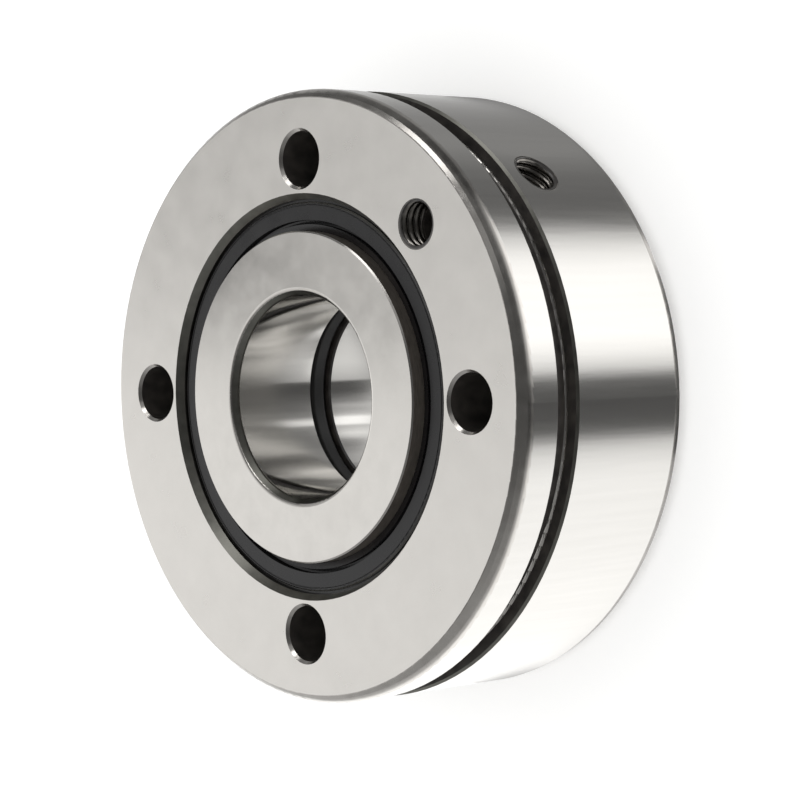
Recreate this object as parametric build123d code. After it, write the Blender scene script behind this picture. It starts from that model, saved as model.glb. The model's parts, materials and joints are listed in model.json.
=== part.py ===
from build123d import *
import os
from math import cos, radians, sin, tan

# Double-row, double-direction angular contact thrust ball bearing with a thick outer ring that is screwed
# to a housing. It lies on the lower face of its inner ring, with its axis along +Z. The origin is the
# centre of that face. All lengths are millimetres, and all sections are drawn as radius and height.

# The bore and the axial sizes. The other diameters follow from the bore by the walls and seats between them.
bore_dia = 25.0
outer_width = 28.0
inner_face_proud = 0.6

# Rolling elements and raceways
ball_dia = 6.35
balls_per_row = 16
contact_angle = 60.0
race_opening = 0.19
race_clearance = 0.05
core_wall = 2.41
rib_thickness = 4.3
rib_bore_inset = 1.3
shoulder_rise = 0.25

# Fixing screw holes through the outer ring, with the walls inside and outside their circle
bolt_hole_dia = 6.8
bolt_hole_count = 4
bolt_hole_bevel = 0.35
seat_wall = 1.45
rim_wall = 5.1

# Tapped lubrication holes, one in the upper face and one in the outer wall, and the drilled channels
lube_thread_dia = 6.0
lube_core_dia = 5.0
lube_angle = 45.0
axial_thread_depth = 3.6
axial_core_depth = 6.5
radial_thread_depth = 5.0
radial_core_depth = 6.5
lube_channel_dia = 2.4
drill_point_angle = 118.0

# Extraction groove round the outer ring
groove_from_face = 6.0
groove_width = 3.0
groove_depth = 1.9
groove_bevel = 0.3
groove_corner_round = 0.3

# Bevels at 45 degrees at both ends of the outer wall, crisp at the face and softly rounded at the wall
front_bevel = 1.05
rear_bevel = 1.3
bevel_face_round = 0.2
bevel_wall_round = 2.0

# Seals and their seats
seal_shoulder = 0.85
recess_bevel_radial = 0.7
recess_bevel_axial = 0.9
seal_inset = 1.0
seal_thickness = 1.6
seal_fit_gap = 0.02
seal_body_width = 2.53
seal_rim_step = 0.32
seal_rim_drop = 0.4
seal_bead_width = 0.3
seal_bead_bevel = 0.2
seal_line_width = 0.18
seal_groove_width = 0.52
seal_groove_depth = 1.0
seal_groove_draft = 0.08
lip_drop = 0.14
lip_tip_thickness = 0.25
lip_slope = 0.12
lip_gap = 0.05
stiffener_thickness = 0.4
stiffener_leg = 0.7
stiffener_side_cover = 0.33
stiffener_bore_step = 0.15

# Edges of the inner ring halves
bore_edge_radial = 0.65
bore_edge_axial = 0.9
bore_edge_round = 0.5
shoulder_bevel = 0.18
split_edge = 0.2

# Split groove in the bore, its undercut, and the retaining ring that snaps into it
split_groove_width = 3.2
split_groove_depth = 1.8
undercut_depth = 0.55
undercut_width = 0.6
ring_top_inset = 0.4
ring_side_gap = 0.25
ring_fit_gap = 0.05
ring_top_round = 0.7

# Cages
pocket_clearance = 0.15
cage_web = 2.6
cage_wall_gap = 0.3
cage_rib_gap = 0.3
cage_shoulder_gap = 0.45
cage_midplane_gap = 0.35
cage_seal_gap = 1.1

# Derived sizes
bore_r = bore_dia / 2
ball_r = ball_dia / 2
outer_half = outer_width / 2
inner_half = outer_half + inner_face_proud
mid_z = inner_half
outer_top_z = mid_z + outer_half

# The race groove is a little larger than the ball. Its centre is moved back from the ball's centre along
# the contact line, so that the running clearance is what remains at the contact.
race_r = ball_r + race_opening
race_shift = race_opening - race_clearance
contact_r = cos(radians(contact_angle))
contact_z = sin(radians(contact_angle))

# Radii from the bore outwards: split groove, inner race, balls, outer race, seal seat, screws, outer wall
split_floor_r = bore_r + split_groove_depth
inner_race_floor_r = split_floor_r + core_wall
pitch_r = inner_race_floor_r + race_r - race_shift * contact_r
outer_race_floor_r = pitch_r + race_r - race_shift * contact_r
rib_bore_r = pitch_r - rib_bore_inset
shoulder_r = pitch_r + shoulder_rise
row_offset = rib_thickness / 2 + race_r - race_shift * contact_z

seal_seat_r = outer_race_floor_r + seal_shoulder
bolt_hole_r = bolt_hole_dia / 2
bolt_circle_r = seal_seat_r + seat_wall + bolt_hole_r
outer_r = bolt_circle_r + bolt_hole_r + rim_wall
seal_face = outer_half - seal_inset
seal_back = seal_face - seal_thickness
seal_rim_r = seal_seat_r - seal_fit_gap
seal_body_r = seal_rim_r - seal_body_width
lip_r = shoulder_r + lip_gap


def box(r0, r1, z0, z1):
    """Rectangle of a section between two radii and two heights above the mid-plane."""
    return Pos((r0 + r1) / 2, (z0 + z1) / 2) * Rectangle(r1 - r0, z1 - z0)


def edge_break(r, z, dr, dz):
    """Triangle that cuts the corner at r, z. The signs of dr and dz point into the material."""
    return Polygon((r, z), (r + dr, z), (r, z + dz), align=None)


def round_corner(section, r, z, radius):
    """Rounds the one corner of the section that lies at r, z."""
    corner = section.vertices().sort_by_distance((r, z, 0))[0]
    return fillet(corner, radius)


def mirrored(section):
    """The same section on the other side of the mid-plane."""
    return mirror(section, about=Plane.XZ)


def rim_bevel(section, bevel, side):
    """Bevels the outer corner at one end. side is 1 for the upper end and -1 for the lower one."""
    end = side * outer_half
    section -= edge_break(outer_r, end, -bevel, -side * bevel)
    section = round_corner(section, outer_r - bevel, end, bevel_face_round)
    return round_corner(section, outer_r, end - side * bevel, bevel_wall_round)


def turn(section):
    """Turns a section of the bearing round its axis, at its height in the bearing."""
    return Pos(0, 0, mid_z) * revolve(Plane.XZ * section, axis=Axis.Z)


def flipped(part):
    """The same part on the other side of the mid-plane."""
    return mirror(part, about=Plane.XY.offset(mid_z))


# Outer ring

def outer_ring_section():
    """Half section of the outer ring: a central rib with a race groove on each side of it."""
    section = box(rib_bore_r, outer_r, -outer_half, outer_half)
    groove_centre = Pos(pitch_r - race_shift * contact_r, row_offset + race_shift * contact_z)
    ball_space = groove_centre * Circle(race_r)
    ball_space += box(0, outer_race_floor_r, row_offset + race_shift * contact_z, outer_half)
    seal_space = box(0, seal_seat_r, seal_back, outer_half)
    recess_edge = edge_break(seal_seat_r, outer_half, recess_bevel_radial, -recess_bevel_axial)
    for side in (ball_space, seal_space, recess_edge):
        section -= side
        section -= mirrored(side)

    section = rim_bevel(section, front_bevel, 1)
    section = rim_bevel(section, rear_bevel, -1)

    groove_top = outer_half - groove_from_face
    groove_bottom = groove_top - groove_width
    groove_floor_r = outer_r - groove_depth
    section -= box(groove_floor_r, outer_r, groove_bottom, groove_top)
    section = round_corner(section, groove_floor_r, groove_bottom, groove_corner_round)
    section = round_corner(section, groove_floor_r, groove_top, groove_corner_round)
    section -= edge_break(outer_r, groove_top, -groove_bevel, groove_bevel)
    section -= edge_break(outer_r, groove_bottom, -groove_bevel, -groove_bevel)
    return section


def tapped_hole(thread_depth, core_depth, channel_depth):
    """Tool for a tapped hole down from the origin: thread, drilled core with its point, and channel."""
    core_r = lube_core_dia / 2
    point_length = core_r / tan(radians(drill_point_angle / 2))
    tool = Pos(0, 0, -thread_depth / 2) * Cylinder(lube_thread_dia / 2, thread_depth)
    tool += Pos(0, 0, -core_depth / 2) * Cylinder(core_r, core_depth)
    tool += Pos(0, 0, -core_depth - point_length / 2) * Rot(180, 0, 0) * Cone(core_r, 0, point_length)
    tool += Pos(0, 0, -channel_depth / 2) * Cylinder(lube_channel_dia / 2, channel_depth)
    return tool


def outer_ring():
    """The ring with its fixing holes and with the two lubrication holes that meet at the mid-plane."""
    ring = turn(outer_ring_section())
    hole = Pos(0, 0, mid_z) * Cylinder(bolt_hole_r, outer_width)
    bevel = Cone(bolt_hole_r, bolt_hole_r + bolt_hole_bevel, bolt_hole_bevel)
    upper_bevel = Pos(0, 0, outer_top_z - bolt_hole_bevel / 2) * bevel
    hole += upper_bevel
    hole += flipped(upper_bevel)
    for i in range(bolt_hole_count):
        ring -= Rot(0, 0, i * 360 / bolt_hole_count) * Pos(bolt_circle_r, 0, 0) * hole

    axial = tapped_hole(axial_thread_depth, axial_core_depth, outer_half)
    ring -= Rot(0, 0, lube_angle) * Pos(bolt_circle_r, 0, outer_top_z) * axial
    radial_channel = outer_r - rib_bore_r + lube_channel_dia
    radial = tapped_hole(radial_thread_depth, radial_core_depth, radial_channel)
    ring -= Rot(0, 0, lube_angle) * Pos(outer_r, 0, mid_z) * Rot(0, 90, 0) * radial
    return ring


# Inner ring, in two equal halves that meet at the mid-plane

def inner_ring_half():
    """Upper half: a race groove under the outboard shoulder, and half of the split groove in the bore."""
    section = box(bore_r, shoulder_r, 0, inner_half)
    groove_centre = Pos(pitch_r + race_shift * contact_r, row_offset - race_shift * contact_z)
    section -= groove_centre * Circle(race_r)
    section -= box(inner_race_floor_r, shoulder_r, 0, row_offset - race_shift * contact_z)

    half_groove = split_groove_width / 2
    section -= box(bore_r, split_floor_r, 0, half_groove)
    section -= box(split_floor_r - undercut_depth, split_floor_r, 0, half_groove + undercut_width)
    section -= edge_break(bore_r, half_groove, split_edge, split_edge)
    section -= edge_break(inner_race_floor_r, 0, -split_edge, split_edge)

    section -= edge_break(shoulder_r, inner_half, -shoulder_bevel, -shoulder_bevel)
    section -= edge_break(bore_r, inner_half, bore_edge_radial, -bore_edge_axial)
    section = round_corner(section, bore_r + bore_edge_radial, inner_half, bore_edge_round)
    section = round_corner(section, bore_r, inner_half - bore_edge_axial, bore_edge_round)
    return turn(section)


def retaining_ring():
    """Moulded ring: a round-topped neck in the split groove, with a foot that snaps into the undercuts."""
    top_r = bore_r + ring_top_inset
    neck_half = split_groove_width / 2 - ring_side_gap
    foot_half = split_groove_width / 2 + undercut_width - ring_fit_gap
    foot_r = split_floor_r - undercut_depth + ring_fit_gap
    section = box(top_r, split_floor_r - ring_fit_gap, -neck_half, neck_half)
    section = round_corner(section, top_r, neck_half, ring_top_round)
    section = round_corner(section, top_r, -neck_half, ring_top_round)
    section += box(foot_r, split_floor_r - ring_fit_gap, -foot_half, foot_half)
    return turn(section)


# Seals

def stiffener_section():
    """Pressed steel washer with a short leg, flush with the back of the seal."""
    outside_r = seal_rim_r - stiffener_side_cover
    section = box(seal_body_r - stiffener_bore_step, outside_r, seal_back, seal_back + stiffener_thickness)
    leg_top = seal_back + stiffener_thickness + stiffener_leg
    section += box(outside_r - stiffener_thickness, outside_r, seal_back, leg_top)
    return section


def seal():
    """Rubber body round the stiffener: a bevelled bead at its rim, a groove in its face, and the lip."""
    bead_r = seal_rim_r - seal_rim_step
    line_r = bead_r - seal_bead_width - seal_line_width / 2
    lip_root_r = seal_body_r - seal_groove_width
    lip_top = seal_face - lip_drop
    body = box(seal_body_r, seal_rim_r, seal_back, seal_face)
    body -= box(bead_r, seal_rim_r, seal_face - seal_rim_drop, seal_face)
    body -= edge_break(bead_r, seal_face, -seal_bead_bevel, -seal_bead_bevel)
    body -= Pos(line_r, seal_face) * Circle(seal_line_width / 2)
    web_top = seal_face - seal_groove_depth
    web = Polygon(
        (lip_root_r, seal_back),
        (seal_body_r, seal_back),
        (seal_body_r, web_top + seal_groove_draft),
        (seal_body_r - seal_groove_width / 2, web_top),
        (lip_root_r, web_top + seal_groove_draft),
        align=None,
    )
    tip_top = lip_top - lip_slope
    lip = Polygon(
        (lip_root_r, seal_back),
        (lip_root_r, lip_top),
        (lip_r, tip_top),
        (lip_r, tip_top - lip_tip_thickness),
        align=None,
    )
    return turn(body + web + lip - stiffener_section())


# Cage

def ball_place(index):
    """Place of one ball of the upper row, with its contact line along the local Z."""
    angle = index * 360 / balls_per_row
    return Rot(0, 0, angle) * Pos(pitch_r, 0, mid_z + row_offset) * Rot(0, contact_angle - 90, 0)


def cage():
    """Window cage: two rims joined by a slanting web, square to the contact line, with a pocket a ball."""
    inner_r = inner_race_floor_r + cage_wall_gap
    lower_rim_r = rib_bore_r - cage_rib_gap
    upper_rim_r = shoulder_r + cage_shoulder_gap
    outside_r = outer_race_floor_r - cage_wall_gap
    bottom = cage_midplane_gap
    top = seal_back - cage_seal_gap
    slope = contact_r / contact_z
    web_rise = cage_web / 2 / contact_z

    def web_low(r):
        return row_offset + (r - pitch_r) * slope - web_rise

    def web_high(r):
        return row_offset + (r - pitch_r) * slope + web_rise

    section = Polygon(
        (inner_r, bottom),
        (lower_rim_r, bottom),
        (lower_rim_r, web_low(lower_rim_r)),
        (outside_r, web_low(outside_r)),
        (outside_r, top),
        (upper_rim_r, top),
        (upper_rim_r, web_high(upper_rim_r)),
        (inner_r, web_high(inner_r)),
        align=None,
    )
    body = turn(section)
    pocket = Cylinder(ball_r + pocket_clearance, 2 * ball_dia)
    for i in range(balls_per_row):
        body -= ball_place(i) * pocket
    return body


# Assembly

upper_inner = inner_ring_half()
upper_seal = seal()
upper_stiffener = turn(stiffener_section())
upper_cage = cage()
row_turn = Rot(0, 0, 180 / balls_per_row)

nodes = {
    "outer_ring": outer_ring(),
    "inner_ring_upper": upper_inner,
    "inner_ring_lower": flipped(upper_inner),
    "retaining_ring": retaining_ring(),
    "cage_upper": upper_cage,
    "cage_lower": row_turn * flipped(upper_cage),
    "seal_upper": upper_seal,
    "seal_lower": flipped(upper_seal),
    "seal_stiffener_upper": upper_stiffener,
    "seal_stiffener_lower": flipped(upper_stiffener),
}
for i in range(balls_per_row):
    ball = ball_place(i) * Sphere(ball_r)
    nodes[f"ball_upper_{i + 1:02d}"] = ball
    nodes[f"ball_lower_{i + 1:02d}"] = row_turn * flipped(ball)

os.makedirs("parts", exist_ok=True)
for name, shape in nodes.items():
    export_step(shape, f"parts/{name}.step")
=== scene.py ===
import bpy
import json
from math import atan2, cos, hypot, inf, pi, radians, sin, sqrt
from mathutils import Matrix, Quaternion, Vector


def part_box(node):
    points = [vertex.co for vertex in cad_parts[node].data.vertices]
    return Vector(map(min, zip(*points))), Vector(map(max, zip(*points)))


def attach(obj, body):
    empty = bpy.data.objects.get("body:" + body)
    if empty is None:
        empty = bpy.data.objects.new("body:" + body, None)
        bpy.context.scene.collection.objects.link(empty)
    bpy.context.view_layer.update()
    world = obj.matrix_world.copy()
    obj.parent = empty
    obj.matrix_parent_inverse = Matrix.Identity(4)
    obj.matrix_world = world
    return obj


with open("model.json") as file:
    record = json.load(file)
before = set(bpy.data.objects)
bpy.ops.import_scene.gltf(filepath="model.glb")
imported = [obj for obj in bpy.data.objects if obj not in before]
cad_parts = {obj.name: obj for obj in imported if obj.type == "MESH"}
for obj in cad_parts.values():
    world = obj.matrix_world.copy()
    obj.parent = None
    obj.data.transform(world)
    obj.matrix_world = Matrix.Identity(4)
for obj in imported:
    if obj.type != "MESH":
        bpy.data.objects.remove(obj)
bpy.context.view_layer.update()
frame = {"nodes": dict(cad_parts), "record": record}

nodes = frame["nodes"]
mounts = {mount["name"]: mount for mount in frame["record"]["mounts"]}
MM = 0.001

# Outer ring: one thick ring of through-hardened chromium steel. It is turned, drilled and tapped soft, then
# hardened, and at last its two faces and its wall are ground bright. The extraction groove and the holes
# aren't ground, so they keep the near black scale of the hardening furnace.


def in_mm(metres):
    """A length of the frame in mm, to the nearest thousandth."""
    return round(metres / MM, 3)


ring_low, ring_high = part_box("outer_ring")
outer_r = in_mm(ring_high.x)
outer_top_z = in_mm(ring_high.z)
outer_bottom_z = in_mm(ring_low.z)
mid_z = in_mm((ring_low.z + ring_high.z) / 2)
rim_bevel_height = 2.2
rim_bevel_width = 1.4
groove_depth = 1.9
groove_bevel = 0.3
groove_corner_round = 0.3
groove_floor_r = outer_r - groove_depth
seal_rim_r = in_mm(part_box("seal_upper")[1].x)
seal_fit_gap = 0.02
seal_seat_r = seal_rim_r + seal_fit_gap
recess_bevel = 0.9
recess_depth = 2.6
screw_holes = mounts["fixing_screw_holes"]["dims"]
bolt_circle_r = screw_holes["pcd_mm"] / 2
bolt_hole_r = screw_holes["hole_r_mm"]
bolt_hole_count = screw_holes["count"]
bolt_hole_bevel = 0.35
lube_axis = mounts["lube_port_radial"]["axis"]
lube_angle = atan2(lube_axis[1], lube_axis[0])
hole_angles = [2 * pi * i / bolt_hole_count for i in range(bolt_hole_count)] + [lube_angle]

# How near the centre of a mesh face is to the end or the wall that it belongs to, in mm, and the share of
# its normal that then points the same way. The last three are the least upright shares of a normal on a
# bevel or in a corner.
end_nearness = 0.01
wall_nearness = 0.02
straight_share = 0.99
hole_bevel_share = 0.3
groove_bevel_share = 0.5
groove_corner_share = 0.1


def srgb(code):
    """An sRGB hex colour as linear values."""
    parts = [int(code[i:i + 2], 16) / 255 for i in (1, 3, 5)]
    return [c / 12.92 if c <= 0.04045 else ((c + 0.055) / 1.055) ** 2.4 for c in parts] + [1.0]


def add(tree, kind, inputs=None, **settings):
    """Adds a node with its settings. An input takes a value, or the output of another node."""
    node = tree.nodes.new(kind)
    for name, value in settings.items():
        setattr(node, name, value)
    for name, value in (inputs or {}).items():
        if isinstance(value, bpy.types.NodeSocket):
            tree.links.new(value, node.inputs[name])
        else:
            node.inputs[name].default_value = value
    return node


def new_material(name):
    """An empty material and its node tree."""
    material = bpy.data.materials.new(name)
    material.use_nodes = True
    material.node_tree.nodes.clear()
    return material, material.node_tree


def finish(name, tones, roughness, patch, grit, depth, sockets):
    """A whole material: two tones and two roughnesses, mixed in patches, under a bump of fine grit.

    patch and grit are the sizes of their grains along X, Y and Z, and depth is the bump's height, all in mm.
    sockets are the values that are the same all over.
    """
    material, tree = new_material(name)
    place = add(tree, "ShaderNodeTexCoord").outputs["Object"]
    noises = []
    for size, detail in ((patch, 4.0), (grit, 2.0)):
        scale = [1 / (s * MM) for s in size]
        scaled = add(tree, "ShaderNodeVectorMath", {0: place, 1: scale}, operation="MULTIPLY").outputs[0]
        noise = add(tree, "ShaderNodeTexNoise", {"Vector": scaled, "Scale": 1.0, "Detail": detail})
        noises.append(noise.outputs["Fac"])
    patches, grains = noises
    # Nearly all of a noise lies between 0.3 and 0.7.
    share = add(tree, "ShaderNodeMapRange", {"Value": patches, "From Min": 0.3, "From Max": 0.7}).outputs[0]
    colour = add(tree, "ShaderNodeMix", {0: share, 6: srgb(tones[0]), 7: srgb(tones[1])}, data_type="RGBA")
    gloss = add(tree, "ShaderNodeMapRange", {"Value": share, "To Min": roughness[0], "To Max": roughness[1]})
    bump = add(tree, "ShaderNodeBump", {"Height": grains, "Strength": 1.0, "Distance": depth * MM})
    shader = add(tree, "ShaderNodeBsdfPrincipled", {
        "Base Color": colour.outputs[2],
        "Roughness": gloss.outputs[0],
        "Normal": bump.outputs["Normal"],
        **sockets,
    })
    add(tree, "ShaderNodeOutputMaterial", {"Surface": shader.outputs["BSDF"]})
    return material


# Ground face of hardened steel: a cup wheel leaves a satin, clean light grey with faint clouds of coarser
# and finer grit. The grit lines are a few hundredths of a millimetre apart, too fine to show, so they are
# drawn at 0.25 mm.
face_steel = finish(
    "ground_steel_face",
    tones=("#d8d5d0", "#dfdcd7"),
    roughness=(0.27, 0.33),
    patch=(4.0, 4.0, 4.0),
    grit=(0.25, 0.25, 0.25),
    depth=0.0008,
    sockets={"Metallic": 1.0},
)

# Ground wall of hardened steel: the wheel runs round the ring, so highlights are drawn out along the axis.
# Its chatter leaves weak ripples and streaks, half a millimetre to a millimetre apart, along the axis.
wall_steel = finish(
    "ground_steel_wall",
    tones=("#d2d0cc", "#d7d5d1"),
    roughness=(0.16, 0.19),
    patch=(1.0, 1.0, 20.0),
    grit=(0.8, 0.8, 9.0),
    depth=0.003,
    sockets={"Metallic": 1.0, "Anisotropic": 0.9, "Anisotropic Rotation": 0.25},
)


def draw_out(material):
    """Turns a ground finish so that its highlights are drawn out along the axis of the bearing."""
    tree = material.node_tree
    round_the_axis = add(tree, "ShaderNodeTangent", direction_type="RADIAL", axis="Z").outputs["Tangent"]
    tree.links.new(round_the_axis, tree.nodes["Principled BSDF"].inputs["Tangent"])


draw_out(wall_steel)

# Turned edge: bevels, rounds and chamfers cut before hardening and rubbed bright with a stone afterwards, so
# they are a little darker and smoother than the ground faces. The stone's scratches are drawn at 0.2 mm.
edge_steel = finish(
    "stoned_steel_edge",
    tones=("#c6c2bd", "#d0cdc8"),
    roughness=(0.17, 0.24),
    patch=(2.0, 2.0, 2.0),
    grit=(0.2, 0.2, 0.2),
    depth=0.0006,
    sockets={"Metallic": 1.0},
)

# Turned recess for the seal: cut with a tool and not ground, so it is a duller, greenish dark grey. The
# tool's feed of a tenth of a millimetre is drawn at 0.2 mm.
recess_steel = finish(
    "turned_steel_recess",
    tones=("#7c7b75", "#93928b"),
    roughness=(0.3, 0.38),
    patch=(2.0, 2.0, 2.0),
    grit=(0.2, 0.2, 0.2),
    depth=0.002,
    sockets={"Metallic": 1.0},
)

# Hardening scale: a thin, brown black oxide with a dull gloss on everything that was cut before the furnace.
# It is an oxide and no bare metal. Its crust is finer than shows, so its grains are drawn at 0.3 mm.
scale_steel = finish(
    "hardening_scale_on_steel",
    tones=("#232120", "#3f3b37"),
    roughness=(0.3, 0.42),
    patch=(1.6, 1.6, 1.6),
    grit=(0.3, 0.3, 0.3),
    depth=0.003,
    sockets={"IOR": 1.8},
)

# Raceways and the seats beside them: ground and honed almost to a mirror, in rounds that are drawn 0.2 mm
# apart, because the real ones are too fine to show.
race_steel = finish(
    "honed_steel_raceway",
    tones=("#c3c0bb", "#cfccc8"),
    roughness=(0.12, 0.18),
    patch=(10.0, 10.0, 0.2),
    grit=(0.2, 0.2, 0.2),
    depth=0.0003,
    sockets={"Metallic": 1.0},
)


def dress(name, materials, choose):
    """Gives a node its finishes. choose takes a face's centre in mm and its normal, and says which one."""
    mesh = nodes[name].data
    mesh.materials.clear()
    for material in materials:
        mesh.materials.append(material)
    for face in mesh.polygons:
        face.material_index = materials.index(choose(face.center / MM, face.normal))


def hole_distance(centre):
    """How far a point is from the axis of the nearest hole that goes down into the face."""
    return min(
        hypot(centre.x - bolt_circle_r * cos(a), centre.y - bolt_circle_r * sin(a)) for a in hole_angles
    )


def outer_ring_finish(centre, normal):
    """The finish of one face of the outer ring."""
    radius = hypot(centre.x, centre.y)
    outward = (normal.x * centre.x + normal.y * centre.y) / radius
    upright = abs(normal.z)
    from_end = min(abs(centre.z - outer_top_z), abs(centre.z - outer_bottom_z))
    if from_end < end_nearness and upright > straight_share:
        return face_steel
    if hole_distance(centre) < bolt_hole_r + bolt_hole_bevel:
        return edge_steel if from_end < bolt_hole_bevel and upright > hole_bevel_share else scale_steel
    if outward > straight_share and radius > outer_r - wall_nearness:
        return wall_steel
    if radius > outer_r - rim_bevel_width and from_end < rim_bevel_height:
        return edge_steel
    if radius > outer_r - groove_bevel and upright > groove_bevel_share:
        return recess_steel
    if groove_floor_r < radius < groove_floor_r + groove_corner_round and upright > groove_corner_share:
        return race_steel
    if abs(radius - seal_seat_r) < recess_bevel and from_end < recess_depth:
        return recess_steel
    return scale_steel if radius > seal_seat_r + recess_bevel else race_steel


ring_finishes = [face_steel, wall_steel, edge_steel, recess_steel, scale_steel, race_steel]
dress("outer_ring", ring_finishes, outer_ring_finish)

# Threads of the two lubrication holes: M6 with 1 mm pitch, cut with a tap before hardening and brushed
# clean, so they are a mid grey steel, apart from the mouth, which the brush doesn't reach. The tap is worn,
# so the crests are broad and round and the roots narrow.
thread_pitch = 1.0
thread_crest_r = 2.5
thread_root_r = 2.96
thread_gap = 0.02
thread_wall_gap = 0.015
thread_lead_in = 0.12
thread_mouth = 0.35
crest_roundness = 0.7
thread_steps = 96
thread_rows = 18
face_port = mounts["lube_port_axial"]["dims"]
wall_port = mounts["lube_port_radial"]["dims"]
thread_shell_r = face_port["r_mm"] - thread_wall_gap

# The tap's marks are finer than shows, so they are drawn at 0.15 mm.
thread_steel = finish(
    "tapped_steel_thread",
    tones=("#75726d", "#97938e"),
    roughness=(0.16, 0.24),
    patch=(0.8, 0.8, 0.8),
    grit=(0.15, 0.15, 0.15),
    depth=0.001,
    sockets={"Metallic": 1.0},
)


def thread_radius(turn, depth):
    """Radius of the thread at a share of a turn and a depth in mm: broad round crests and narrow roots."""
    phase = (depth / thread_pitch - turn) % 1.0
    height = abs(sin(pi * phase)) ** crest_roundness
    mouth = min(1.0, max(0.0, depth / thread_lead_in))
    return thread_root_r - (thread_root_r - thread_crest_r) * height * mouth


def wall_dip(turn, curve_r):
    """How far a round wall has fallen away at the rim of the hole, at a share of a turn. 0 if it is flat."""
    if not curve_r:
        return 0.0
    return curve_r - sqrt(curve_r ** 2 - (thread_shell_r * sin(2 * pi * turn)) ** 2)


def thread(name, depth, curve_r, place):
    """A closed sleeve with a thread in it. curve_r is the radius of the wall that it opens in, 0 if flat."""
    rows = int(depth / thread_pitch * thread_rows)
    turns = [step / thread_steps for step in range(thread_steps)]
    starts = [wall_dip(turn, curve_r) + thread_gap for turn in turns]
    points = []
    for row in range(rows + 1):
        for turn, start in zip(turns, starts):
            down = max(start, depth * row / rows)
            radius = thread_radius(turn, down - start + thread_gap)
            points.append((radius * cos(2 * pi * turn), radius * sin(2 * pi * turn), -down))
    for ends in (starts, [depth] * thread_steps):
        for turn, down in zip(turns, ends):
            points.append((thread_shell_r * cos(2 * pi * turn), thread_shell_r * sin(2 * pi * turn), -down))
    # The last two rows are the sleeve's outside, from the bottom back up to the mouth.
    order = list(range(rows + 1)) + [rows + 2, rows + 1]
    faces = []
    for row, next_row in zip(order, order[1:] + order[:1]):
        for step in range(thread_steps):
            after = (step + 1) % thread_steps
            faces.append((
                row * thread_steps + step,
                row * thread_steps + after,
                next_row * thread_steps + after,
                next_row * thread_steps + step,
            ))
    mesh = bpy.data.meshes.new(name)
    mesh.from_pydata([place(Vector(p)) * MM for p in points], [], faces)
    mesh.polygons.foreach_set("use_smooth", [True] * len(mesh.polygons))
    mesh.materials.append(thread_steel)
    mesh.materials.append(scale_steel)
    mouth_rows = round(thread_mouth / thread_pitch * thread_rows)
    for face in mesh.polygons[:mouth_rows * thread_steps]:
        face.material_index = 1
    piece = bpy.data.objects.new(name, mesh)
    bpy.context.scene.collection.objects.link(piece)
    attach(piece, "outer")


outwards = Vector((cos(lube_angle), sin(lube_angle), 0))
sideways = Vector((-sin(lube_angle), cos(lube_angle), 0))
up = Vector((0, 0, 1))


def in_face(p):
    """A point of the thread in the face. x and y of p are across the hole, and z is up out of it."""
    return outwards * (bolt_circle_r + p.x) + sideways * p.y + up * (outer_top_z + p.z)


def in_wall(p):
    """A point of the thread in the outer wall, given in the same way."""
    return outwards * (outer_r + p.z) + sideways * p.y + up * (mid_z - p.x)


thread("thread_in_face", face_port["length_mm"] - thread_gap, 0, in_face)
thread("thread_in_wall", wall_port["length_mm"] - thread_gap, outer_r, in_wall)

# Balls: sixteen to a row, of the same chromium steel. They are pressed from wire, hardened, ground and
# lapped to a mirror, so they show only the faintest haze.
ball_steel = finish(
    "lapped_steel_ball",
    tones=("#c9c7c4", "#d6d4d1"),
    roughness=(0.05, 0.09),
    patch=(1.5, 1.5, 1.5),
    grit=(0.2, 0.2, 0.2),
    depth=0.0001,
    sockets={"Metallic": 1.0},
)


def dress_whole(name, material):
    """Gives a node one finish all over."""
    dress(name, [material], lambda centre, normal: material)


for name in nodes:
    if name.startswith("ball_"):
        dress_whole(name, ball_steel)

# Cages: one window cage a row, moulded from polyamide with a quarter of glass fibre, cream coloured and
# slightly waxy, with the fibres showing as fine streaks. The fibres are a hundredth of a millimetre thick,
# so they are drawn at 0.15 mm.
cage_plastic = finish(
    "glass_filled_polyamide",
    tones=("#d8cfb8", "#e2dac6"),
    roughness=(0.42, 0.55),
    patch=(4.0, 4.0, 4.0),
    grit=(0.15, 0.15, 0.8),
    depth=0.004,
    sockets={"IOR": 1.53},
)
for name in ("cage_upper", "cage_lower"):
    dress_whole(name, cage_plastic)

# Inner ring: two halves of the same steel, ground on their faces and in the bore and turned on the shoulder.
# The split groove and its undercut are turned before hardening, so they are black. The faces take the
# clamping of the shaft nut, so they are ground finer than those of the outer ring and mirror more sharply.
inner_top_z = in_mm(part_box("inner_ring_upper")[1].z)
shoulder_r = in_mm(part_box("inner_ring_upper")[1].x)
bore_r = mounts["shaft_bore"]["dims"]["r_mm"]
retaining_ring_gap = 0.05
split_floor_r = in_mm(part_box("retaining_ring")[1].x) + retaining_ring_gap
split_groove_half = 2.5
edge_zone = 1.6
bore_edge_share = 0.66

fine_face_steel = finish(
    "fine_ground_steel_face",
    tones=("#d5d2cd", "#dcd9d4"),
    roughness=(0.12, 0.17),
    patch=(3.0, 3.0, 3.0),
    grit=(0.2, 0.2, 0.2),
    depth=0.0005,
    sockets={"Metallic": 1.0},
)

# Bore: ground and honed to size for the shaft, so it mirrors more sharply than the outer wall. Its streaks
# are those of the wall.
bore_steel = finish(
    "honed_steel_bore",
    tones=("#d2d0cc", "#d7d5d1"),
    roughness=(0.1, 0.13),
    patch=(1.0, 1.0, 20.0),
    grit=(0.8, 0.8, 9.0),
    depth=0.0015,
    sockets={"Metallic": 1.0, "Anisotropic": 0.9, "Anisotropic Rotation": 0.25},
)
draw_out(bore_steel)

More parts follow.
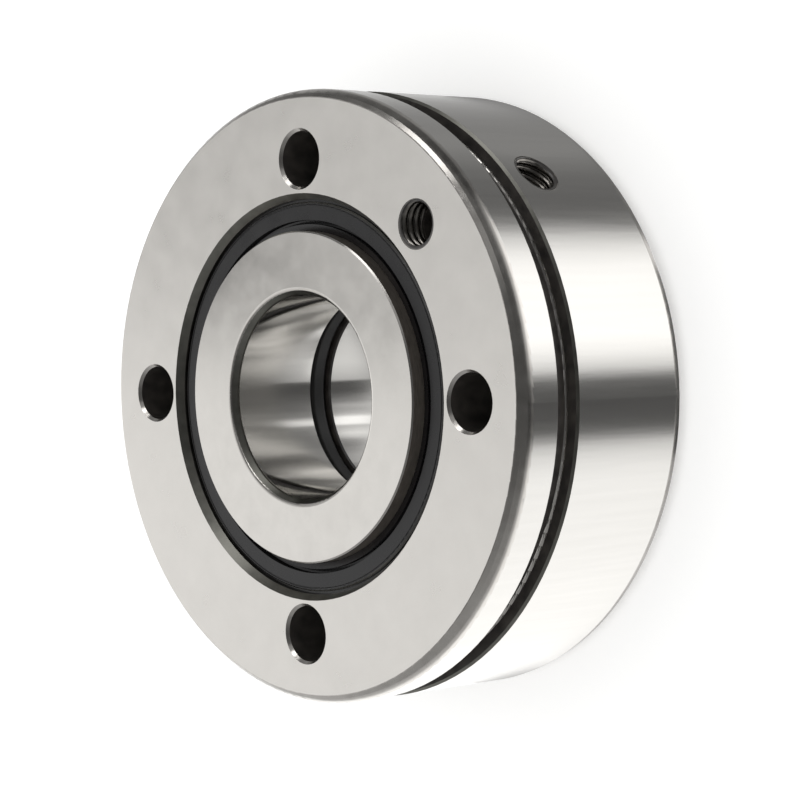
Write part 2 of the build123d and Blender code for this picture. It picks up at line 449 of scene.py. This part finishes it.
# Shoulder above the seal's lip: turned and not ground, so it is dull and scatters the light. Its grey brown
# tone is darkened for the shade on this narrow wall between the ring's face and the seal, so it is partly
# painted shade.
# The tool's rounds are too fine to show, so they are drawn 0.2 mm apart.
shoulder_steel_with_painted_shade = finish(
    "turned_steel_shoulder_with_painted_shade",
    tones=("#7c756e", "#989087"),
    roughness=(0.32, 0.42),
    patch=(1.5, 1.5, 0.2),
    grit=(0.4, 0.4, 0.2),
    depth=0.004,
    sockets={"Metallic": 0.78},
)


def inner_ring_finish(centre, normal):
    """The finish of one face of an inner ring half."""
    radius = hypot(centre.x, centre.y)
    outward = (normal.x * centre.x + normal.y * centre.y) / radius
    upright = abs(normal.z)
    from_end = min(abs(centre.z - inner_top_z), abs(centre.z))
    if from_end < end_nearness and upright > straight_share:
        return fine_face_steel
    if outward < -straight_share and radius < bore_r + wall_nearness:
        return bore_steel
    if radius < split_floor_r + wall_nearness and abs(centre.z - mid_z) < split_groove_half:
        return scale_steel
    # The shoulder wall takes the darkened tone, which is partly painted shade.
    if outward > straight_share and radius > shoulder_r - wall_nearness:
        return shoulder_steel_with_painted_shade
    if from_end < edge_zone:
        return edge_steel if outward > 0 or upright > bore_edge_share else recess_steel
    return race_steel


inner_finishes = [
    fine_face_steel, bore_steel, shoulder_steel_with_painted_shade, edge_steel, recess_steel, scale_steel, race_steel,
]
for name in ("inner_ring_upper", "inner_ring_lower"):
    dress(name, inner_finishes, inner_ring_finish)

# Retaining ring: black moulded polyamide, snapped into the undercuts of both inner ring halves, so that they
# stay together while the bearing is handled. The mould was eroded, and its grain is drawn at 0.3 mm.
ring_plastic = finish(
    "black_moulded_polyamide",
    tones=("#0d0d0d", "#151515"),
    roughness=(0.36, 0.46),
    patch=(3.0, 3.0, 3.0),
    grit=(0.3, 0.3, 0.3),
    depth=0.003,
    sockets={"IOR": 1.53},
)
dress_whole("retaining_ring", ring_plastic)

# Stiffeners: deep drawn steel washers of L section, bonded to the back of the seals, with a dull grey
# phosphate coat that the rubber sticks to. Its crystals are too fine to show, so they are drawn at 0.2 mm.
stiffener_steel = finish(
    "phosphated_sheet_steel",
    tones=("#5f6061", "#7a7b7c"),
    roughness=(0.5, 0.62),
    patch=(0.2, 0.2, 0.2),
    grit=(0.2, 0.2, 0.2),
    depth=0.003,
    sockets={"Metallic": 0.6},
)
for name in ("seal_stiffener_upper", "seal_stiffener_lower"):
    dress_whole(name, stiffener_steel)

# Seals: nitrile rubber moulded round the stiffener and pressed into the recess of the outer ring. The mould
# was turned, so its rings stand on the rubber, too fine to show. They are drawn 0.22 mm apart.
mould_ring_pitch = 0.22
rubber = finish(
    "moulded_nitrile_rubber",
    tones=("#0e0d0f", "#161516"),
    roughness=(0.24, 0.32),
    patch=(3.5, 3.5, 3.5),
    grit=(mould_ring_pitch, mould_ring_pitch, inf),
    depth=0.004,
    sockets={"IOR": 1.48},
)

# The grit is spread by the distance from the axis alone, which draws it out into rings.
tree = rubber.node_tree
grit_noise = tree.nodes["Bump"].inputs["Height"].links[0].from_node
scaled_place = grit_noise.inputs["Vector"].links[0].from_socket
from_axis = add(tree, "ShaderNodeVectorMath", {0: scaled_place}, operation="LENGTH").outputs["Value"]
grit_noise.noise_dimensions = "1D"
tree.links.new(from_axis, grit_noise.inputs["W"])

# The bevel of the seal's bead is glossier than the rest of the rubber, under a sharp coat, and its tone is
# lighter: a painted highlight that draws a bright line along the bead.
# The normals of its faces are upright by more than the first share and less than the second.
bead_step = 0.32
bead_r = seal_rim_r - bead_step
bead_bevel = 0.2
bead_bevel_shares = (0.4, 0.9)
bead_zone = 0.3
seal_face = in_mm(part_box("seal_upper")[1].z) - mid_z
bead_rubber_with_painted_highlight = finish(
    "nitrile_rubber_with_painted_highlight",
    tones=("#262524", "#33312f"),
    roughness=(0.2, 0.3),
    patch=(3.5, 3.5, 3.5),
    grit=(0.2, 0.2, 0.2),
    depth=0.001,
    sockets={
        "IOR": 1.52,
        "Specular IOR Level": 1.0,
        "Coat Weight": 1.0,
        "Coat Roughness": 0.12,
        "Coat IOR": 2.0,
    },
)


def seal_finish(centre, normal):
    """The finish of one face of a seal."""
    least, most = bead_bevel_shares
    on_bevel = bead_r - bead_bevel < hypot(centre.x, centre.y) < bead_r and least < abs(normal.z) < most
    outward = normal.x * centre.x + normal.y * centre.y > 0
    in_sight = abs(centre.z - mid_z) > seal_face - bead_zone
    # The outward faces of the bead's bevel on the face side take the painted highlight.
    return bead_rubber_with_painted_highlight if on_bevel and outward and in_sight else rubber


for name in ("seal_upper", "seal_lower"):
    dress(name, [rubber, bead_rubber_with_painted_highlight], seal_finish)

# The camera looks down on the face with the tapped hole, from the side of one screw hole, and is rolled
# so that +Y is up in the picture. Its place and lens were fitted to the ellipses of the rims and holes.
aim_point = Vector((2.49, -0.79, 14.6)) * MM
camera_distance = 327.9 * MM
camera_azimuth = radians(3.11)
camera_elevation = radians(43.06)
camera_roll = radians(-92.85)
camera_lens = 118.11
to_camera = Vector((
    cos(camera_elevation) * cos(camera_azimuth),
    cos(camera_elevation) * sin(camera_azimuth),
    sin(camera_elevation),
))
camera = bpy.data.objects.new("camera", bpy.data.cameras.new("camera"))
camera.data.lens = camera_lens
camera.rotation_mode = "QUATERNION"
camera.location = aim_point + to_camera * camera_distance
camera.rotation_quaternion = Quaternion(to_camera, camera_roll) @ (-to_camera).to_track_quat("-Z", "Y")
bpy.context.scene.collection.objects.link(camera)
bpy.context.scene.camera = camera

# The table: a plain pale floor. It is left out of reflections, so that the wall and the bore of the bearing
# mirror the white studio, as they do on a bearing that is held clear of the table. Only what looks straight
# at the table sees its glow, which lights nothing.
floor_half = 3000 * MM
floor_glow = 0.28
floor_mesh = bpy.data.meshes.new("floor")
floor_mesh.from_pydata([
    (-floor_half, -floor_half, 0),
    (floor_half, -floor_half, 0),
    (floor_half, floor_half, 0),
    (-floor_half, floor_half, 0),
], [], [(0, 1, 2, 3)])
floor = bpy.data.objects.new("floor", floor_mesh)
bpy.context.scene.collection.objects.link(floor)
floor.visible_glossy = False
paper, tree = new_material("white_paper")
seen = add(tree, "ShaderNodeLightPath")
diffuse = add(tree, "ShaderNodeBsdfDiffuse", {"Color": srgb("#f6f6f5")}).outputs["BSDF"]
glow = add(tree, "ShaderNodeEmission", {"Color": srgb("#ffffff"), "Strength": floor_glow})
lit = add(tree, "ShaderNodeAddShader", {0: diffuse, 1: glow.outputs["Emission"]}).outputs["Shader"]
direct = add(tree, "ShaderNodeMath", {
    0: seen.outputs["Is Camera Ray"],
    1: seen.outputs["Is Transmission Ray"],
}, operation="MAXIMUM").outputs[0]
shown = add(tree, "ShaderNodeMixShader", {0: direct, 1: diffuse, 2: lit}).outputs["Shader"]
add(tree, "ShaderNodeOutputMaterial", {"Surface": shown})
floor.data.materials.append(paper)

# The white studio: a plain white all round. As a light it is a little weaker than what the camera, the metal
# and clear things see of it.
studio_seen = 1.0
studio_light = 0.86
studio = bpy.data.worlds.new("white_studio")
bpy.context.scene.world = studio
studio.use_nodes = True
studio.cycles.sampling_method = "NONE"
tree = studio.node_tree
tree.nodes.clear()
seen = add(tree, "ShaderNodeLightPath")
sight = seen.outputs["Is Camera Ray"]
for ray in ("Is Glossy Ray", "Is Transmission Ray"):
    sight = add(tree, "ShaderNodeMath", {0: sight, 1: seen.outputs[ray]}, operation="MAXIMUM").outputs[0]
strength = add(tree, "ShaderNodeMapRange", {
    "Value": sight,
    "To Min": studio_light,
    "To Max": studio_seen,
}).outputs["Result"]
background = add(tree, "ShaderNodeBackground", {"Color": srgb("#ffffff"), "Strength": strength})
add(tree, "ShaderNodeOutputWorld", {"Surface": background.outputs["Background"]})

# Painted reflections round the bearing: glowing cards that light nothing and are only seen in the metal, as
# bright and dark bands along its wall, in the pattern of soft boxes and black flags. Each mark is an angle
# in degrees and a brightness, where the studio's white is 1.
card_step = 4.0
card_distance = 900 * MM


def show_in_metal_only(name, mesh):
    """Puts a painted reflection in the studio, where only the metal sees it."""
    piece = bpy.data.objects.new(name, mesh)
    bpy.context.scene.collection.objects.link(piece)
    piece.visible_camera = False
    piece.visible_diffuse = False
    piece.visible_shadow = False
    piece.visible_transmission = False
    piece.visible_volume_scatter = False


def painted_reflection_card(name, place, round_span, height_span, round_marks, height_marks):
    """A curved glowing card, a painted reflection, with its points given by place. Its brightness is the
    product of both rows of marks.
    """
    columns = max(2, int((round_span[1] - round_span[0]) / card_step))
    rows = max(2, int((height_span[1] - height_span[0]) / card_step))
    points, faces, shares = [], [], []
    for row in range(rows + 1):
        rise = height_span[0] + (height_span[1] - height_span[0]) * row / rows
        for column in range(columns + 1):
            turn = round_span[0] + (round_span[1] - round_span[0]) * column / columns
            points.append(place(turn, rise))
            shares.append((column / columns, row / rows))
    for row in range(rows):
        for column in range(columns):
            corner = row * (columns + 1) + column
            faces.append((corner, corner + 1, corner + columns + 2, corner + columns + 1))
    mesh = bpy.data.meshes.new(name)
    mesh.from_pydata(points, [], faces)
    across = mesh.uv_layers.new(name="across")
    for loop in mesh.loops:
        across.data[loop.index].uv = shares[loop.vertex_index]

    material, tree = new_material(name + "_light")
    share = add(tree, "ShaderNodeSeparateXYZ", {0: add(tree, "ShaderNodeTexCoord").outputs["UV"]})
    light = 1.0
    for socket, (low, high), marks in (("X", round_span, round_marks), ("Y", height_span, height_marks)):
        ramp = add(tree, "ShaderNodeValToRGB", {"Fac": share.outputs[socket]})
        stops = ramp.color_ramp.elements
        for i, (mark, brightness) in enumerate(marks):
            position = (mark - low) / (high - low)
            stop = stops[i] if i < 2 else stops.new(position)
            stop.position = position
            stop.color = [brightness] * 3 + [1.0]
        product = add(tree, "ShaderNodeMath", {0: light, 1: ramp.outputs["Color"]}, operation="MULTIPLY")
        light = product.outputs[0]
    glow = add(tree, "ShaderNodeEmission", {"Color": srgb("#ffffff"), "Strength": light})
    add(tree, "ShaderNodeOutputMaterial", {"Surface": glow.outputs["Emission"]})
    material.cycles.emission_sampling = "NONE"
    mesh.materials.append(material)
    show_in_metal_only(name, mesh)


def round_studio(azimuth, elevation):
    """A spot in the studio, in a direction from the middle of the bearing."""
    level = card_distance * cos(radians(elevation))
    rise = card_distance * sin(radians(elevation))
    return level * cos(radians(azimuth)), level * sin(radians(azimuth)), mid_z * MM + rise


# Painted reflections below the bearing's face: a white wall in front, a black flag before the camera, a soft
# box at its right and a grey wall further round. Above it: painted black and grey flags, and the white of
# the studio behind the bearing.
painted_reflection_card("painted_reflection_ring_low", round_studio, (-180, 180), (-75, 5), [
    (-180, 1.0), (-150, 1.4), (-126, 1.55), (-80, 1.5), (-60, 1.42), (-36, 1.36), (-30, 1.3), (-24, 1.1),
    (-20, 0.9), (-16, 0.2), (-12, 0.13), (-4, 0.1), (2, 0.14), (5, 0.24), (8, 0.95), (14, 1.4), (20, 1.65),
    (42, 1.6), (50, 1.5), (57, 1.15), (62, 0.85), (64, 0.24), (72, 0.17), (84, 0.17), (96, 0.24),
    (106, 0.34), (114, 0.28), (130, 0.32), (147, 0.5), (158, 0.75), (180, 1.0),
], [(-75, 1.0), (-24, 1.0), (-14, 0.42), (0, 0.38), (5, 0.1)])
painted_reflection_card("painted_reflection_ring_middle", round_studio, (-170, 190), (5, 34), [
    (-170, 1.1), (-138, 0.8), (-120, 0.45), (-100, 0.36), (-60, 0.34), (-40, 0.26), (-20, 0.12),
    (0, 0.09), (40, 0.1), (62, 0.16), (74, 0.13), (112, 0.15), (130, 0.22), (150, 0.4), (165, 0.58),
    (176, 0.56), (180, 1.55), (190, 1.25),
], [(5, 1.0), (34, 1.0)])
# The white behind the bearing starts further round at the height of the face's right half than at its left.
painted_reflection_side_marks = [
    (-138, 1.0), (-120, 0.6), (-106, 0.24), (-78, 0.22), (-45, 0.2), (-25, 0.12), (0, 0.09), (40, 0.12),
    (48, 0.36), (64, 0.38), (74, 0.2), (112, 0.17), (130, 0.3), (150, 0.55),
]
painted_reflection_card("painted_reflection_ring_high", round_studio, (-170, 190), (34, 41), [(-170, 1.0), (-160, 0.93)] + painted_reflection_side_marks + [
    (165, 0.6), (173, 0.5), (177, 0.32), (179, 0.32), (181.5, 1.02), (190, 0.97),
], [(34, 1.0), (41, 1.0)])
painted_reflection_card("painted_reflection_ring_top", round_studio, (-170, 190), (41, 88), [(-170, 0.98), (-160, 0.93)] + painted_reflection_side_marks + [
    (165, 0.82), (173, 0.82), (178, 0.6), (180.5, 0.58), (183, 1.0), (190, 0.96),
], [(41, 1.0), (88, 1.0)])

# Painted reflections under the bearing: glowing cards that only its bore mirrors to the camera, white, then
# black, then bright bars. They are placed by the spot of the bore's wall that mirrors them, an angle in
# degrees and a height in mm, or a share of the way between two heights.
under_height = -20.0
mouth_height = -1.0
seen_drop = 23.9
twice_from = -12.0
bars_from = 13.5
bars_to = 29.0


def mirrored_by_bore(angle, height, plane=under_height):
    """The spot on a plane under the bearing that the bore's wall mirrors to the camera."""
    outward = Vector((cos(radians(angle)), sin(radians(angle)), 0))
    spot = outward * bore_r + up * height
    ray = (spot - camera.location / MM).normalized().reflect(outward)
    return (spot + ray * ((plane - height) / ray.z)) * MM


def lowest_seen(angle):
    """The height down to which the camera sees the bore's wall past the near rim."""
    return inner_top_z + seen_drop * cos(radians(angle) - camera_azimuth)


def under_the_seen(angle, share):
    """A spot for light that has met the wall twice, so lower than what the camera sees of the wall."""
    return mirrored_by_bore(angle, twice_from + (lowest_seen(angle) - twice_from) * share)


def above_the_hidden(angle, share):
    """A spot for the lower stretch of wall that the camera sees."""
    return mirrored_by_bore(angle, lowest_seen(angle) + (bars_from - lowest_seen(angle)) * share)


painted_reflection_card("painted_reflection_twice_mirrored", under_the_seen, (92, 268), (0, 1), [
    (92, 0.2), (108, 0.17), (116, 0.22), (124, 0.3), (136, 0.33), (156, 0.36), (164, 0.42), (172, 0.46),
    (176, 0.6), (180, 0.8), (187, 0.95), (194, 0.83), (204, 0.9), (212, 0.96), (220, 0.82), (228, 0.58),
    (234, 0.32), (242, 0.17), (268, 0.25),
], [(0, 1.0), (1, 1.0)])
painted_reflection_card("painted_reflection_near", above_the_hidden, (135, 227), (0, 1), [
    (135, 1.0), (143, 1.05), (163, 1.02), (169, 0.88), (173.5, 0.72), (174.5, 0.085), (180, 0.09),
    (183, 0.16), (186.5, 0.35), (188.5, 0.62), (191.5, 0.55), (193.5, 0.75), (195, 1.0), (196, 1.7),
    (200, 1.6), (201.2, 0.75), (203, 0.95), (206, 1.25), (208.5, 0.9), (210.5, 0.4), (213, 0.3),
    (217, 0.32), (221, 0.5), (227, 0.6),
], [(0, 1.0), (1, 1.0)])
painted_reflection_card("painted_reflection_far", mirrored_by_bore, (130, 236), (bars_from, bars_to), [
    (130, 0.4), (134, 0.45), (138, 0.8), (141, 1.09), (144, 0.8), (148, 0.6), (156, 0.66), (161, 0.72),
    (166, 0.6), (170, 0.53), (173.5, 0.45), (174.5, 0.09), (180, 0.1), (184, 0.13), (188, 0.16),
    (193, 0.2), (195.5, 0.3), (197.5, 1.0), (199.5, 0.95), (201, 0.35), (203, 0.21), (208, 0.2),
    (216, 0.26), (228, 0.27), (236, 0.2),
], [(bars_from, 1.0), (bars_to, 1.0)])

# Painted reflections close under the bore's mouth: glowing patches, one grey and two white. The retaining
# ring is before them in the first mirror image, so they only show in the second one.


def painted_reflection_patch(name, brightness, corners):
    """A flat glowing patch, a painted reflection with a plain glow. Its corners are spots of the bore's
    wall, as for the cards.
    """
    mesh = bpy.data.meshes.new(name)
    points = [mirrored_by_bore(angle, height, mouth_height) for angle, height in corners]
    mesh.from_pydata(points, [], [list(range(len(points)))])
    material, tree = new_material(name + "_light")
    glow = add(tree, "ShaderNodeEmission", {"Color": srgb("#ffffff"), "Strength": brightness})
    add(tree, "ShaderNodeOutputMaterial", {"Surface": glow.outputs["Emission"]})
    material.cycles.emission_sampling = "NONE"
    mesh.materials.append(material)
    show_in_metal_only(name, mesh)


# The glows of the painted grey and white reflections, where the studio's white is 1.
grey_reflection_glow = 0.36
white_paper = 1.3
painted_reflection_patch("painted_grey_reflection", grey_reflection_glow, [
    (139, 12.9), (143.8, 14.0), (150.9, 14.2), (156.5, 15.2), (160, 16.6), (148, 16.7), (143.5, 15.1),
    (139, 13.6),
])
painted_reflection_patch("painted_white_reflection", white_paper, [
    (157, 15.15), (161, 14.9), (169.3, 15.2), (175.5, 16.2), (168, 16.8), (161.5, 16.6),
])
painted_reflection_patch("painted_small_white_reflection", white_paper, [(150.9, 14.2), (152, 14.4), (155, 15.6), (156.5, 15.2), (153, 14.3)])

# Three soft boxes: a large one over the camera for an even shade, and two small ones from the side of the
# tapped holes, nearer than the flags. The lower one lights the bevel, and the higher one draws the glints on
# the seal's bead and lip, on the edge of the bore and on the threads.


def soft_box(name, width, height, distance, azimuth, elevation, power):
    """A lamp that looks at the bearing. Its sizes and distance are in metres, and its angles in degrees."""
    data = bpy.data.lights.new(name, "AREA")
    data.shape = "RECTANGLE"
    data.size = width
    data.size_y = height
    data.energy = power
    box = bpy.data.objects.new(name, data)
    level = cos(radians(elevation))
    direction = Vector((
        level * cos(radians(azimuth)),
        level * sin(radians(azimuth)),
        sin(radians(elevation)),
    ))
    box.location = direction * distance
    box.rotation_mode = "QUATERNION"
    box.rotation_quaternion = direction.to_track_quat("Z", "Y")
    box.visible_camera = False
    bpy.context.scene.collection.objects.link(box)
    return box


over = soft_box("soft_box_over", 1.0, 1.0, distance=1.3, azimuth=-15, elevation=62, power=2.5)
side = soft_box("soft_box_side", 0.32, 0.18, distance=0.8, azimuth=94, elevation=26, power=0.4)
high = soft_box("soft_box_high", 0.25, 0.12, distance=0.8, azimuth=84, elevation=41, power=0.3)
over.visible_glossy = False
side.visible_diffuse = False
high.visible_diffuse = False

bpy.context.scene.view_settings.view_transform = "Standard"
